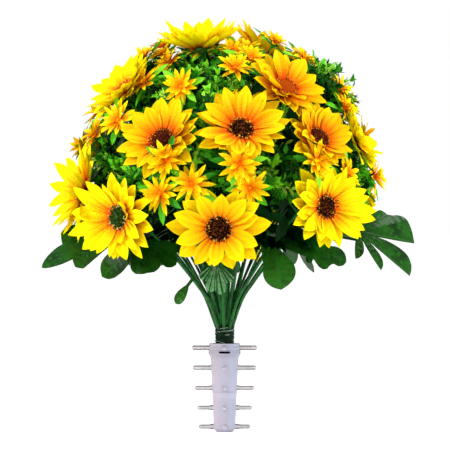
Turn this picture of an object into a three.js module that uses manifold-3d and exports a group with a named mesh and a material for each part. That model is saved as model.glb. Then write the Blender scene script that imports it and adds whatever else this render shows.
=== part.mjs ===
// Artificial sunflower bush on a pegged plastic vase plug.
// Millimetres, +Z up. The origin is at the centre of the plug's flat foot, and the
// bush faces -Y. Azimuth 0 points to the front and grows towards +X.
import * as THREE from 'three';
import * as BufferGeometryUtils from 'three/addons/utils/BufferGeometryUtils.js';
import Module from 'manifold-3d';

const wasm = await Module();
wasm.setup();

// ---- driving dimensions ---------------------------------------------------------------------
const PLUG_HEIGHT = 111;
const FOOT_HEIGHT = 3.7;
const FOOT_WIDTH = 19;
const PEG_RADIUS = 2.8;
const PEG_TIERS = [
  { z: 6.9, reach: 32.5 }, { z: 30.6, reach: 34.7 }, { z: 55.4, reach: 37.3 },
  { z: 80.5, reach: 39.8 }, { z: 105.4, reach: 40.7 },
];
const BORE_RADIUS = 12.1;
const BORE_FLOOR = 60;
const GAP = 0.3; // clearance kept between any two neighbouring solids
const SWELL = 0.7; // how far a solid's corners move out when it cuts its neighbours
const NECK_RADIUS = 11.7;
const NECK_TOP = 133;
const CROWN_CENTRE = new THREE.Vector3(0.5, 6.2, 285);
const CROWN_RADIUS = 182; // centres of the flower heads, sideways and front to back
const CROWN_RISE = 205; // the same, from the middle of the crown to its top
const HEAD_RADIUS = 62;
const PETALS = 10; // scallops round a head's outline
const PETAL_THICKNESS = 2.4;
const CALYX_RADIUS = 9;
const CALYX_DEPTH = 24;
const LEAF_THICKNESS = 1.6;
const STEM_FOOT_RADIUS = 2.3;
const STEM_TIP_RADIUS = 1.5;

// ---- where things grow ----------------------------------------------------------------------
// Flower heads: place on the crown (x, z in mm, and which side), the way each one faces
// (azimuth, elevation), its size against HEAD_RADIUS, and how far its petals cup.
const HEADS = [
  { name: 'head_front_low', x: -7, z: 254, azimuth: -2, elevation: -4, size: 1.0, cup: 14 },
  { name: 'head_front_left', x: -126, z: 268, azimuth: -42, elevation: -4, size: 1.02, cup: 20 },
  { name: 'head_far_left', x: -172, z: 300, azimuth: -72, elevation: 14, size: 0.95, cup: 20 },
  { name: 'head_front_right', x: 121, z: 281, azimuth: 36, elevation: 0, size: 0.95, cup: 20 },
  { name: 'head_mid_left', x: -74, z: 360, azimuth: -24, elevation: 24, size: 0.95, cup: 16 },
  { name: 'head_centre', x: 20, z: 372, azimuth: 6, elevation: 24, size: 0.98, cup: 18 },
  { name: 'head_upper_right', x: 74, z: 424, azimuth: 34, elevation: 42, size: 0.9, cup: 22 },
  { name: 'head_top', x: -30, z: 478, azimuth: -30, elevation: 76, size: 0.9, cup: 28 },
  { name: 'head_top_right', x: 51, z: 470, azimuth: 96, elevation: 66, size: 0.82, cup: 28 },
  { name: 'head_upper_left', x: -122, z: 424, azimuth: -62, elevation: 40, size: 0.82, cup: 18 },
  { name: 'head_mid_right', x: 113, z: 362, azimuth: 40, elevation: 24, size: 0.78, cup: 20 },
  { name: 'head_far_right', x: 170, z: 292, azimuth: 92, elevation: 4, size: 0.72, cup: 16 },
  { name: 'head_right_edge', x: 160, z: 364, azimuth: 80, elevation: 26, size: 0.7, cup: 16 },
  { name: 'head_left_edge', x: -156, z: 352, azimuth: -100, elevation: 28, size: 0.72, cup: 16 },
  { name: 'head_back_low', x: 14, z: 258, azimuth: 177, elevation: 0, size: 0.98, cup: 16 },
  { name: 'head_back_left', x: -118, z: 276, azimuth: -135, elevation: 4, size: 0.92, cup: 18 },
  { name: 'head_back_right', x: 116, z: 280, azimuth: 136, elevation: 4, size: 0.92, cup: 18 },
  { name: 'head_back_mid_left', x: -66, z: 372, azimuth: -154, elevation: 28, size: 0.92, cup: 18 },
  { name: 'head_back_mid_right', x: 58, z: 374, azimuth: 158, elevation: 28, size: 0.9, cup: 18 },
  { name: 'head_back_upper', x: -10, z: 448, azimuth: 176, elevation: 56, size: 0.88, cup: 20 },
];

// Masses of small leaves, sprays and daisies between the heads: direction from the crown's
// middle, reach as a share of the crown's radius, half widths along and up, half depth.
const MASSES = [
  { name: 'foliage_front', azimuth: -9, elevation: 14, reach: 0.8, size: [62, 42, 32] },
  { name: 'foliage_front_right', azimuth: 31, elevation: 13, reach: 0.8, size: [46, 38, 30] },
  { name: 'foliage_front_left', azimuth: -42, elevation: 16, reach: 0.78, size: [50, 38, 30] },
  { name: 'foliage_left', azimuth: -92, elevation: 14, reach: 0.76, size: [54, 42, 32] },
  { name: 'foliage_right', azimuth: 84, elevation: 14, reach: 0.84, size: [56, 44, 32] },
  { name: 'foliage_upper_front', azimuth: -16, elevation: 42, reach: 0.86, size: [58, 44, 34] },
  { name: 'foliage_upper_left', azimuth: -82, elevation: 48, reach: 0.92, size: [44, 40, 28] },
  { name: 'foliage_upper_right', azimuth: 84, elevation: 46, reach: 0.98, size: [50, 42, 28] },
  { name: 'foliage_top', azimuth: -10, elevation: 82, reach: 0.82, size: [54, 50, 28] },
  { name: 'foliage_back_left', azimuth: -134, elevation: 18, reach: 0.84, size: [48, 44, 32] },
  { name: 'foliage_back', azimuth: 176, elevation: 16, reach: 0.8, size: [54, 42, 34] },
  { name: 'foliage_back_right', azimuth: 124, elevation: 18, reach: 0.84, size: [50, 44, 32] },
  { name: 'foliage_upper_back_right', azimuth: 138, elevation: 47, reach: 0.88, size: [48, 42, 30] },
  { name: 'foliage_upper_back_left', azimuth: -142, elevation: 46, reach: 0.88, size: [48, 42, 30] },
];

// Large glossy leaves of the skirt, each drawn flat as it is seen from its own side and then
// sloped outwards: the side it faces (azimuth), its hub and the point its stalk comes from
// (across, outwards, up), how steeply it slopes, how wide and how deeply cut its fingers are,
// and each finger's turn (0 is across to the right, -90 is straight down) and reach.
const LEAVES = [
  { name: 'leaf_far_left', azimuth: 0, hub: [-168, 46, 234], stalk: [-118, 30, 252], slope: 0.7,
    fingerWidth: 34, notch: 0.62, fingers: [[-222, 40], [-157, 62], [-112, 30]] },
  { name: 'leaf_left', azimuth: 0, hub: [-98, 74, 240], stalk: [-44, 34, 232], slope: 0.9,
    fingerWidth: 44, notch: 0.6, fingers: [[-188, 50], [-145, 70], [-112, 44], [-70, 42], [-38, 52]] },
  { name: 'leaf_right', azimuth: 0, hub: [166, 40, 250], stalk: [106, 24, 250], slope: 0.6,
    fingerWidth: 28, notch: 0.46, fingers: [[-98, 33], [-59, 54], [-39, 80], [-9, 72], [34, 36]] },
  { name: 'leaf_front_right', azimuth: 0, hub: [104, 70, 232], stalk: [52, 36, 240], slope: 0.9,
    fingerWidth: 36, notch: 0.7, fingers: [[-96, 26], [-52, 36], [-20, 48], [24, 30]] },
  { name: 'leaf_drooping', azimuth: 0, hub: [64, 62, 232], stalk: [44, 34, 252], slope: 0.5,
    fingerWidth: 34, notch: 0.9, fingers: [[-70, 54]] },
  { name: 'leaf_front_low', azimuth: 0, hub: [-10, 66, 214], stalk: [-4, 40, 236], slope: 0.8,
    fingerWidth: 30, notch: 0.9, fingers: [[-128, 30], [-88, 39], [-52, 30]] },
  { name: 'leaf_narrow', azimuth: 0, hub: [-44, 40, 186], stalk: [-37, 32, 195], slope: 0.4,
    fingerWidth: 11, notch: 0.9, fingers: [[-124, 29]] },
  { name: 'leaf_back_left', azimuth: -140, hub: [-8, 136, 244], stalk: [0, 78, 262], slope: 0.9,
    fingerWidth: 34, notch: 0.5, fingers: [[-176, 48], [-132, 46], [-92, 44], [-50, 46], [-6, 48]] },
  { name: 'leaf_back', azimuth: 178, hub: [6, 132, 232], stalk: [0, 82, 250], slope: 0.9,
    fingerWidth: 34, notch: 0.55, fingers: [[-168, 40], [-120, 38], [-76, 38], [-28, 42]] },
  { name: 'leaf_back_right', azimuth: 136, hub: [6, 136, 244], stalk: [0, 78, 262], slope: 0.9,
    fingerWidth: 34, notch: 0.5, fingers: [[-172, 46], [-128, 44], [-88, 44], [-46, 48], [-4, 48]] },
];

// Stems: place on the neck (ring radius, azimuth) and the point they climb to. A stem ends
// where it enters the mass or the head that it carries.
const STEMS = [
  { name: 'stem_front_low', ring: 9.2, azimuth: -4, to: [-7, -130, 250] },
  { name: 'stem_front_left', ring: 9.2, azimuth: -44, to: [-104, -96, 262] },
  { name: 'stem_left', ring: 9.2, azimuth: -84, to: [-132, -8, 300] },
  { name: 'stem_back_left', ring: 9.2, azimuth: -124, to: [-98, 84, 272] },
  { name: 'stem_back_low', ring: 9.2, azimuth: -164, to: [-10, 132, 256] },
  { name: 'stem_back_right', ring: 9.2, azimuth: 156, to: [94, 90, 276] },
  { name: 'stem_right', ring: 9.2, azimuth: 116, to: [132, 16, 292] },
  { name: 'stem_right_low', ring: 9.2, azimuth: 76, to: [126, -36, 300] },
  { name: 'stem_front_right', ring: 9.2, azimuth: 36, to: [92, -104, 276] },
  { name: 'stem_inner_front', ring: 3.6, azimuth: 0, to: [14, -100, 352] },
  { name: 'stem_inner_right', ring: 3.6, azimuth: 90, to: [66, -26, 412] },
  { name: 'stem_inner_back', ring: 3.6, azimuth: 180, to: [10, 84, 392] },
  { name: 'stem_inner_left', ring: 3.6, azimuth: -90, to: [-50, -10, 420] },
];

// ---- materials ------------------------------------------------------------------------------
const plain = (color, roughness) => new THREE.MeshStandardMaterial({ color, roughness, metalness: 0 });
const plugPlastic = () => plain(0xd0cce0, 0.35);
const bindingTape = () => plain(0x10291a, 0.55);
const stemPlastic = () => plain(0x0e5a1f, 0.5);
const petalCloth = () => plain(0xffd400, 0.8);
const leafCloth = () => plain(0x0b3d12, 0.4);
const sprayPlastic = () => plain(0x2a8a26, 0.6);

// ---- solids and meshes ----------------------------------------------------------------------
function toSolid(geometry) {
  const bare = geometry.clone();
  bare.deleteAttribute('normal');
  bare.deleteAttribute('uv');
  const merged = BufferGeometryUtils.mergeVertices(bare, 1e-4);
  return new wasm.Manifold(new wasm.Mesh({
    numProp: 3,
    vertProperties: new Float32Array(merged.attributes.position.array),
    triVerts: new Uint32Array(merged.index.array),
  }));
}

function toGeometry(solid) {
  const { vertProperties, triVerts } = solid.getMesh();
  const geometry = new THREE.BufferGeometry();
  geometry.setAttribute('position', new THREE.BufferAttribute(vertProperties, 3));
  geometry.setIndex(new THREE.BufferAttribute(triVerts, 1));
  geometry.computeVertexNormals();
  return geometry;
}

// A solid with every corner moved out along the mean of the faces that meet there.
function swell(solid) {
  const { vertProperties, triVerts } = solid.getMesh();
  const corner = (i) => new THREE.Vector3().fromArray(vertProperties, i * 3);
  const outward = Array.from({ length: vertProperties.length / 3 }, () => new THREE.Vector3());
  for (let t = 0; t < triVerts.length; t += 3) {
    const ids = [...triVerts.slice(t, t + 3)];
    const normal = new THREE.Triangle(...ids.map(corner)).getNormal(new THREE.Vector3());
    ids.forEach((id) => outward[id].add(normal));
  }
  outward.forEach((normal, i) => {
    corner(i).addScaledVector(normal.normalize(), SWELL).toArray(vertProperties, i * 3);
  });
  return new wasm.Manifold(new wasm.Mesh({ numProp: 3, vertProperties, triVerts }));
}

// Of the pieces that a cut leaves, the one with the highest score.
function keepBest(solid, score) {
  return solid.decompose().reduce((best, piece) => (score(piece) > score(best) ? piece : best));
}

const byVolume = (solid) => solid.volume();
const byLowness = (solid) => -solid.boundingBox().min[2];

function boxesMeet(a, b) {
  const boxA = a.boundingBox();
  const boxB = b.boundingBox();
  return [0, 1, 2].every((i) => boxA.min[i] < boxB.max[i] && boxB.min[i] < boxA.max[i]);
}

// ---- directions -----------------------------------------------------------------------------
function direction(azimuth, elevation) {
  const a = THREE.MathUtils.degToRad(azimuth);
  const e = THREE.MathUtils.degToRad(elevation);
  return new THREE.Vector3(Math.cos(e) * Math.sin(a), -Math.cos(e) * Math.cos(a), Math.sin(e));
}

// Turns +Z to a direction, with +X level.
function facing(azimuth, elevation) {
  const out = direction(azimuth, elevation);
  const level = direction(azimuth + 90, 0);
  const upward = new THREE.Vector3().crossVectors(out, level);
  return new THREE.Matrix4().makeBasis(level, upward, out);
}

// ---- plug -----------------------------------------------------------------------------------
function plugBody() {
  const profile = [
    [0, FOOT_HEIGHT + GAP], [14, FOOT_HEIGHT + GAP], [15.2, 42], [15.8, 51], [17.6, 92],
    [20, 98.5], [20, 101.5], [18.8, 103], [18.8, PLUG_HEIGHT], [16.6, PLUG_HEIGHT],
    [16.2, 98], [BORE_RADIUS, 96], [BORE_RADIUS, BORE_FLOOR], [0, BORE_FLOOR],
  ];
  return new THREE.LatheGeometry(profile.map(([r, z]) => new THREE.Vector2(r, z)), 20)
    .rotateX(Math.PI / 2);
}

// The four-sided end of the plug, which it stands on.
function plugFoot() {
  const corner = FOOT_WIDTH * Math.SQRT1_2;
  return toSolid(new THREE.CylinderGeometry(corner + 0.5, corner, FOOT_HEIGHT, 4)
    .rotateX(Math.PI / 2)
    .rotateZ(Math.PI / 4)
    .translate(0, 0, FOOT_HEIGHT / 2));
}

// One round-ended peg, from inside the wall out to its reach.
function peg(tier, azimuth) {
  const start = 12.6;
  const profile = [
    [0, start], [PEG_RADIUS, start], [PEG_RADIUS, tier.reach - 1.6], [PEG_RADIUS * 0.6, tier.reach],
    [0, tier.reach],
  ];
  return new THREE.LatheGeometry(profile.map(([r, y]) => new THREE.Vector2(r, y)), 6)
    .rotateZ(THREE.MathUtils.degToRad(azimuth + 180))
    .translate(0, 0, tier.z);
}

function plug() {
  let solid = toSolid(plugBody());
  for (const tier of PEG_TIERS) {
    for (const azimuth of [0, 90, 180, 270]) {
      solid = solid.add(toSolid(peg(tier, azimuth)));
    }
  }
  const slot = new THREE.BoxGeometry(14, 8, 2.4).translate(0, -19, 100.1);
  return solid.subtract(toSolid(slot));
}

// ---- neck -----------------------------------------------------------------------------------
// The bound bundle of stems, from inside the plug's bore up to where the stems part.
function neck() {
  const profile = [
    [0, BORE_FLOOR + GAP], [10.6, BORE_FLOOR + GAP], [11.2, 100], [NECK_RADIUS, 114],
    [12.2, NECK_TOP - 4], [12, NECK_TOP], [0, NECK_TOP],
  ];
  return toSolid(new THREE.LatheGeometry(profile.map(([r, z]) => new THREE.Vector2(r, z)), 14)
    .rotateX(Math.PI / 2));
}

// ---- flower heads ---------------------------------------------------------------------------
// A closed dish with a scalloped rim: petals cupped forwards, calyx behind. It is a sphere
// whose rows are laid out as the rows of the dish, so it faces +Z.
function headGeometry(head) {
  const radius = HEAD_RADIUS * head.size;
  const columns = PETALS * 2;
  const rows = [
    { r: 0, z: 0 }, { r: radius, z: head.cup }, { r: radius, z: head.cup - PETAL_THICKNESS },
    { r: CALYX_RADIUS, z: -8 }, { r: CALYX_RADIUS * 0.6, z: -CALYX_DEPTH }, { r: 0, z: -CALYX_DEPTH },
  ];
  const geometry = new THREE.SphereGeometry(1, columns, rows.length - 1);
  const position = geometry.attributes.position;
  for (let i = 0; i < position.count; i += 1) {
    const row = rows[Math.floor(i / (columns + 1))];
    const column = i % (columns + 1) % columns;
    const angle = (column / columns) * Math.PI * 2;
    const isRim = row.r === radius;
    const scallop = isRim && column % 2 === 1 ? 0.8 : 1;
    const uneven = isRim ? 1 + 0.05 * Math.sin(3 * angle + head.x) : 1;
    const lift = isRim ? 4 * Math.sin(2 * angle + head.z) : 0;
    const r = row.r * scallop * uneven;
    position.setXYZ(i, r * Math.cos(angle), r * Math.sin(angle), row.z + lift);
  }
  return geometry;
}

// The depth (y) of the crown's surface behind or before a point of its outline.
function crownDepth(x, z) {
  const across = (x - CROWN_CENTRE.x) / CROWN_RADIUS;
  const up = (z - CROWN_CENTRE.z) / CROWN_RISE;
  return CROWN_RADIUS * Math.sqrt(Math.max(0.01, 1 - across * across - up * up));
}

function headSolid(head) {
  const side = Math.abs(head.azimuth) > 90 ? 1 : -1;
  const y = side * crownDepth(head.x, head.z);
  return toSolid(headGeometry(head)
    .applyMatrix4(facing(head.azimuth, head.elevation))
    .translate(head.x, y, head.z));
}

// ---- foliage masses -------------------------------------------------------------------------
// An uneven lump: an ellipsoid whose radius swells and sinks with the direction.
function massSolid(mass) {
  const [wide, tall, deep] = mass.size;
  const geometry = new THREE.IcosahedronGeometry(1, 2);
  const position = geometry.attributes.position;
  const point = new THREE.Vector3();
  const phase = mass.azimuth * 0.11 + mass.elevation * 0.23;
  for (let i = 0; i < position.count; i += 1) {
    point.fromBufferAttribute(position, i);
    const uneven = 1 + 0.1 * Math.sin(5 * point.x + phase) + 0.1 * Math.sin(6 * point.y + 2 * phase)
      + 0.06 * Math.sin(9 * point.z + 3 * phase);
    position.setXYZ(i, point.x * wide * uneven, point.y * tall * uneven, point.z * deep * uneven);
  }
  const out = direction(mass.azimuth, mass.elevation);
  const centre = new THREE.Vector3(CROWN_RADIUS, CROWN_RADIUS, CROWN_RISE)
    .multiplyScalar(mass.reach)
    .multiply(out)
    .add(CROWN_CENTRE);
  return toSolid(geometry
    .applyMatrix4(facing(mass.azimuth, mass.elevation))
    .translate(centre.x, centre.y, centre.z));
}

// ---- leaves ---------------------------------------------------------------------------------
const polar = (reach, turn) => new THREE.Vector2(
  reach * Math.cos(THREE.MathUtils.degToRad(turn)), reach * Math.sin(THREE.MathUtils.degToRad(turn)));

// Outline about the hub: out along one side of each finger to its tip, back along the other
// side to the notch before the next finger, and round by the stalk.
function leafShape(leaf) {
  const fingers = leaf.fingers.map(([turn, reach]) => ({ turn, reach }));
  const stalk = new THREE.Vector2(leaf.stalk[0] - leaf.hub[0], leaf.stalk[2] - leaf.hub[2]);
  const stalkSide = stalk.clone().rotateAround(new THREE.Vector2(), Math.PI / 2).setLength(2);
  const shape = new THREE.Shape();
  const lineTo = (point) => shape.lineTo(point.x, point.y);
  const curveTo = (control, point) => shape.quadraticCurveTo(control.x, control.y, point.x, point.y);
  const start = stalk.clone().add(stalkSide);
  shape.moveTo(start.x, start.y);
  fingers.forEach(({ turn, reach }, i) => {
    const next = fingers[i + 1];
    const room = fingers
      .filter((other) => other.turn !== turn)
      .map((other) => 0.45 * Math.abs(other.turn - turn));
    const bulge = Math.min(THREE.MathUtils.radToDeg(Math.atan(leaf.fingerWidth / (1.1 * reach))), ...room);
    if (i === 0) {
      lineTo(polar(reach * leaf.notch * 0.7, turn - bulge * 1.3));
    }
    curveTo(polar(reach * 0.66, turn - bulge), polar(reach, turn));
    const notch = next
      ? polar(Math.min(reach, next.reach) * leaf.notch, (turn + next.turn) / 2)
      : polar(reach * leaf.notch * 0.7, turn + bulge * 1.3);
    curveTo(polar(reach * 0.66, turn + bulge), notch);
  });
  lineTo(stalk.clone().sub(stalkSide));
  shape.closePath();
  return shape;
}

function leafSolid(leaf) {
  const [across, outwards, up] = leaf.hub;
  const geometry = new THREE.ExtrudeGeometry(leafShape(leaf), {
    depth: LEAF_THICKNESS, bevelEnabled: false, curveSegments: 2,
  }).rotateX(Math.PI / 2);
  const position = geometry.attributes.position;
  for (let i = 0; i < position.count; i += 1) {
    const z = position.getZ(i);
    position.setXYZ(i, across + position.getX(i), position.getY(i) - outwards + z * leaf.slope, up + z);
  }
  return toSolid(geometry.rotateZ(THREE.MathUtils.degToRad(leaf.azimuth)));
}

// ---- stems ----------------------------------------------------------------------------------
function stemCurve(stem) {
  const out = direction(stem.azimuth, 0);
  const foot = out.clone().multiplyScalar(stem.ring).setZ(NECK_TOP + GAP);
  const target = new THREE.Vector3(...stem.to);
  const above = foot.clone().setZ(foot.z + 8);
  const lean = (share, z) => new THREE.Vector3(
    THREE.MathUtils.lerp(foot.x, target.x, share), THREE.MathUtils.lerp(foot.y, target.y, share), z);
  const rise = target.z - foot.z;
  return new THREE.CatmullRomCurve3([
    foot, above, lean(0.34, foot.z + 0.46 * rise), lean(0.72, foot.z + 0.8 * rise), target,
  ]);
}

// A tapering round limb: a cylinder whose rings are moved onto a curve.
function stemSolid(stem) {
  const curve = stemCurve(stem);
  const steps = 8;
  const geometry = new THREE.CylinderGeometry(STEM_TIP_RADIUS, STEM_FOOT_RADIUS, 1, 5, steps);
  const { normals, binormals } = curve.computeFrenetFrames(steps);
  const position = geometry.attributes.position;
  for (let i = 0; i < position.count; i += 1) {
    const ring = Math.round((position.getY(i) + 0.5) * steps);
    const point = curve.getPointAt(ring / steps)
      .addScaledVector(normals[ring], position.getX(i))
      .addScaledVector(binormals[ring], -position.getZ(i));
    position.setXYZ(i, point.x, point.y, point.z);
  }
  return toSolid(geometry);
}

// ---- assembly -------------------------------------------------------------------------------
const bush = new THREE.Group();
const swollen = []; // a swollen copy of every solid fitted so far

function add(name, solid, material) {
  const mesh = new THREE.Mesh(toGeometry(solid), material);
  mesh.name = name;
  bush.add(mesh);
}

// Adds a solid cut back wherever it would run into one that is there already.
function fit(name, solid, material, score = byVolume) {
  let rest = solid;
  for (const neighbour of swollen) {
    if (boxesMeet(rest, neighbour)) {
      rest = keepBest(rest.subtract(neighbour), score);
    }
  }
  swollen.push(swell(solid).add(solid)); // a swollen notch may close on itself
  add(name, rest, material);
}

add('plug_foot', plugFoot(), plugPlastic());
add('plug', plug(), plugPlastic());
add('neck', neck(), bindingTape());
HEADS.forEach((head) => fit(head.name, headSolid(head), petalCloth()));
MASSES.forEach((mass) => fit(mass.name, massSolid(mass), sprayPlastic()));
STEMS.forEach((stem) => fit(stem.name, stemSolid(stem), stemPlastic(), byLowness));
LEAVES.forEach((leaf) => fit(leaf.name, leafSolid(leaf), leafCloth()));

export default bush;
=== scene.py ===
"""Looks of an artificial sunflower bush on a pegged vase plug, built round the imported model.

Metres, +Z up. The bush faces -Y; azimuth 0 points to the front and grows towards +X.
Every kind of small thing (petals, stamens, leaflets, twigs) is one joined mesh.
"""

from math import asin, atan2, cos, degrees, hypot, radians, sin, sqrt

import bpy
import numpy as np
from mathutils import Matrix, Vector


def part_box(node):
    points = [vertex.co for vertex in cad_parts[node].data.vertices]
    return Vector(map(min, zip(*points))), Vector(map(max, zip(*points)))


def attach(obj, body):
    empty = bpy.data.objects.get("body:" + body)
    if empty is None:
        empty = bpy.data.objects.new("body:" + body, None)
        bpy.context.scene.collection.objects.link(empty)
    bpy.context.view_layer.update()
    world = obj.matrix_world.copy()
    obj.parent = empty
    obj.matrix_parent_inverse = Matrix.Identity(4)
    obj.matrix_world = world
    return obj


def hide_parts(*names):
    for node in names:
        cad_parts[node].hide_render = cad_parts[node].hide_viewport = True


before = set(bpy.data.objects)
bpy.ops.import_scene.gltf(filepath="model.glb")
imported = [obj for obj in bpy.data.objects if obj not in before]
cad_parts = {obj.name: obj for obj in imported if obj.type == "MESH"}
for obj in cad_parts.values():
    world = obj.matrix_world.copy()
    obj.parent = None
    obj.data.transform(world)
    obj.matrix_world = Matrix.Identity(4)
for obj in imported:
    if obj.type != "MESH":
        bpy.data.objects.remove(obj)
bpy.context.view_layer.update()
rng = np.random.default_rng(827)

MM = 0.001
TURN = 2 * np.pi
BODY = "root"

# ---- places on the plant ----
CROWN_CENTRE = np.array([0.5, 6.2, 285.0]) * MM
CROWN_RADII = np.array([182.0, 182.0, 205.0]) * MM
CALYX_DEPTH = 24 * MM
DISC_RADIUS = 15 * MM

# Each flower head's facing (azimuth, elevation), how far its petals cup (mm), how many
# short petals curl in over its disc, how far its petals reach sideways and up as shares of
# its radius, its petal tone (lemon and golden are partly painted light) and its disc's look.
HEADS = {
    "head_front_low": (-2, -4, 10, 0, 0.95, 0.74, "yellow", "brown"),
    "head_front_left": (-42, -4, 20, 4, 1.17, 0.8, "lemon", "green"),
    "head_far_left": (-72, 14, 20, 0, 1.2, 1.04, "lemon", "russet"),
    "head_front_right": (36, 0, 18, 5, 1.12, 0.83, "lemon", "brown"),
    "head_mid_left": (-24, 24, 22, 4, 0.97, 0.92, "golden", "russet"),
    "head_centre": (6, 24, 20, 0, 1.0, 0.97, "golden", "brown"),
    "head_upper_right": (34, 42, 22, 6, 0.93, 0.97, "golden", "orange"),
    "head_top": (-30, 76, 40, 0, 1.0, 1.0, "lemon", "brown"),
    "head_top_right": (96, 66, 34, 0, 1.0, 1.15, "golden", "brown"),
    "head_upper_left": (-62, 40, 18, 3, 1.15, 1.0, "lemon", "orange"),
    "head_mid_right": (40, 24, 24, 5, 1.0, 1.0, "golden", "russet"),
    "head_far_right": (92, 4, 16, 0, 1.0, 1.0, "lemon", "brown"),
    "head_right_edge": (80, 26, 16, 0, 1.0, 1.0, "lemon", "brown"),
    "head_left_edge": (-100, 28, 16, 0, 1.0, 1.0, "lemon", "brown"),
    "head_back_low": (177, 0, 16, 2, 1.0, 0.78, "golden", "brown"),
    "head_back_left": (-135, 4, 18, 0, 1.0, 1.0, "lemon", "green"),
    "head_back_right": (136, 4, 18, 3, 1.0, 1.0, "lemon", "brown"),
    "head_back_mid_left": (-154, 28, 18, 0, 1.0, 1.0, "golden", "russet"),
    "head_back_mid_right": (158, 28, 18, 3, 1.0, 1.0, "golden", "brown"),
    "head_back_upper": (176, 56, 20, 0, 1.0, 1.0, "golden", "russet"),
}

# Heads whose petals open a little above the way their dish faces (degrees).
TIPPED_UP = {"head_centre": 13, "head_mid_left": 7, "head_mid_right": 10}

# Daisies: direction from the crown's middle (azimuth, elevation), reach as a
# share of the crown's radius, and size against DAISY_RADIUS.
DAISY_RADIUS = 25 * MM
DAISIES = [
    (-22, 42, 1.03, 1.0), (-49, 45, 1.02, 1.0), (-69, 24, 1.02, 1.1), (-50, 28, 1.05, 1.05),
    (-12, 6, 1.06, 1.1), (-21, 13, 1.1, 1.1), (-23, 3, 1.08, 1.1), (-25, 69, 0.99, 0.95),
    (-68, 56, 1.06, 0.9), (-62, 62, 1.02, 0.85), (9, 67, 0.99, 0.9), (6, 51, 1.03, 0.95),
    (5, 12, 1.1, 1.15), (34, 13, 1.1, 1.15), (9, 5, 1.03, 1.1), (72, 57, 1.04, 0.9),
    (73, 41, 1.06, 1.0), (84, 36, 1.03, 0.95), (66, 33, 1.05, 0.95), (54, 10, 1.02, 0.9),
    (-100, 8, 1.0, 1.0), (-110, 34, 1.0, 1.0), (104, 16, 1.02, 1.0), (116, 34, 1.02, 1.0),
    (100, 44, 1.02, 0.95), (-120, 52, 1.0, 1.0), (-158, 10, 1.04, 1.1), (157, 12, 1.04, 1.1),
    (178, 30, 1.04, 1.1), (-176, 40, 1.02, 1.0), (-128, 36, 1.02, 1.0), (132, 32, 1.02, 1.05),
    (150, 46, 1.02, 1.0), (-148, 54, 1.02, 1.0), (118, 60, 1.0, 0.95), (-96, 66, 1.0, 0.9),
    (160, 76, 0.98, 0.95), (-114, 20, 1.03, 1.0), (-156, 22, 1.0, 1.0), (70, 20, 1.02, 1.0),
    (20, 60, 1.0, 0.9), (30, 72, 0.98, 0.9), (-50, 60, 0.98, 0.9), (-84, 66, 1.04, 0.9),
    (72, 70, 1.04, 0.9), (-94, 33, 1.03, 1.0), (-96, 20, 1.03, 1.0), (-88, 7, 1.03, 1.0),
    (-92, -3, 1.02, 0.9), (94, 24, 1.03, 1.0), (96, 9, 1.04, 1.0), (-112, 10, 1.03, 1.0),
    (-130, 20, 1.03, 1.0), (112, 4, 1.03, 1.0), (128, 19, 1.03, 1.0), (-94, 46, 1.02, 0.95),
]

# Openings in the crown that daylight shows through, seen from the front: across and up from
# the crown's middle, and radius (mm).
SKY_GAPS = [
    (10, 206, 11), (-58, 189, 5), (-50, 178, 4), (153, 84, 9), (117, 110, 7), (117, 140, 5),
]

# Large glossy leaves, laid out flat and then sloped outwards: azimuth, hub and stalk's root
# (across, outwards, up), slope, fullness and lean of the lobes (1: straight on the side of the
# lower turn), reach of the notches as a share of the shorter lobe beside each, spread of the
# outer lobes (degrees), each lobe's (turn, reach), and tone. Lengths are in mm.
LEAVES = {
    "leaf_far_left": (
        0, (-160, 46, 237), (-118, 30, 254), 0.7, 0.3, 0.0, 0.9, 16,
        [(-198, 45), (-157, 71), (-129, 38)], "dark"),
    "leaf_left": (
        0, (-98, 74, 240), (-44, 34, 232), 0.9, 0.85, 0.0,
        (0.6, 0.6, 0.7, 1.0, 0.85, 0.8), 14,
        [(-188, 46), (-141, 66), (-104, 41), (-72, 40), (-36, 48)], "dark"),
    "leaf_right": (
        0, (166, 40, 250), (106, 24, 250), 0.6, 0.8, 0.9,
        (0.36, 0.36, 0.36, 0.36, 1.15, 0.9), 12,
        [(-98, 33), (-60, 53), (-39, 80), (-9, 70), (34, 42)], "dark"),
    "leaf_front_right": (
        0, (104, 70, 232), (52, 36, 240), 0.9, 0.85, 0.0,
        (0.66, 0.66, 1.05, 0.8, 0.66), 16,
        [(-92, 20), (-50, 34), (-18, 48), (24, 30)], "dark"),
    "leaf_drooping": (
        0, (64, 62, 232), (44, 34, 252), 0.5, 0.7, 0.0, 0.6, 38,
        [(-84, 51)], "mid"),
    "leaf_front_low": (
        0, (-10, 66, 214), (-4, 40, 236), 0.8, 0.9, 0.0, 0.9, 12,
        [(-132, 29), (-104, 36), (-80, 39), (-52, 31)], "pale"),
    "leaf_narrow": (
        0, (-44, 40, 186), (-37, 32, 195), 0.4, 0.7, 0.0, 0.14, 30,
        [(-124, 29)], "mid"),
    "leaf_back_left": (
        -140, (-8, 136, 244), (0, 78, 262), 0.9, 0.8, 0.4, 0.5, 20,
        [(-176, 48), (-132, 46), (-92, 44), (-50, 46), (-6, 48)], "dark"),
    "leaf_back": (
        178, (6, 132, 232), (0, 82, 250), 0.9, 0.8, 0.3, 0.55, 22,
        [(-168, 40), (-120, 38), (-76, 38), (-28, 42)], "dark"),
    "leaf_back_right": (
        136, (6, 136, 244), (0, 78, 262), 0.9, 0.8, 0.4, 0.5, 20,
        [(-172, 46), (-128, 44), (-88, 44), (-46, 48), (-4, 48)], "dark"),
}

# ---- directions and lines ----


def direction(azimuth, elevation):
    a, e = radians(azimuth), radians(elevation)
    return np.array([cos(e) * sin(a), -cos(e) * cos(a), sin(e)])


def facing(azimuth, elevation):
    """Rows: the level, upward and outward axes of something that faces this way."""
    out = direction(azimuth, elevation)
    level = direction(azimuth + 90, 0)
    return np.array([level, np.cross(out, level), out])


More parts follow.
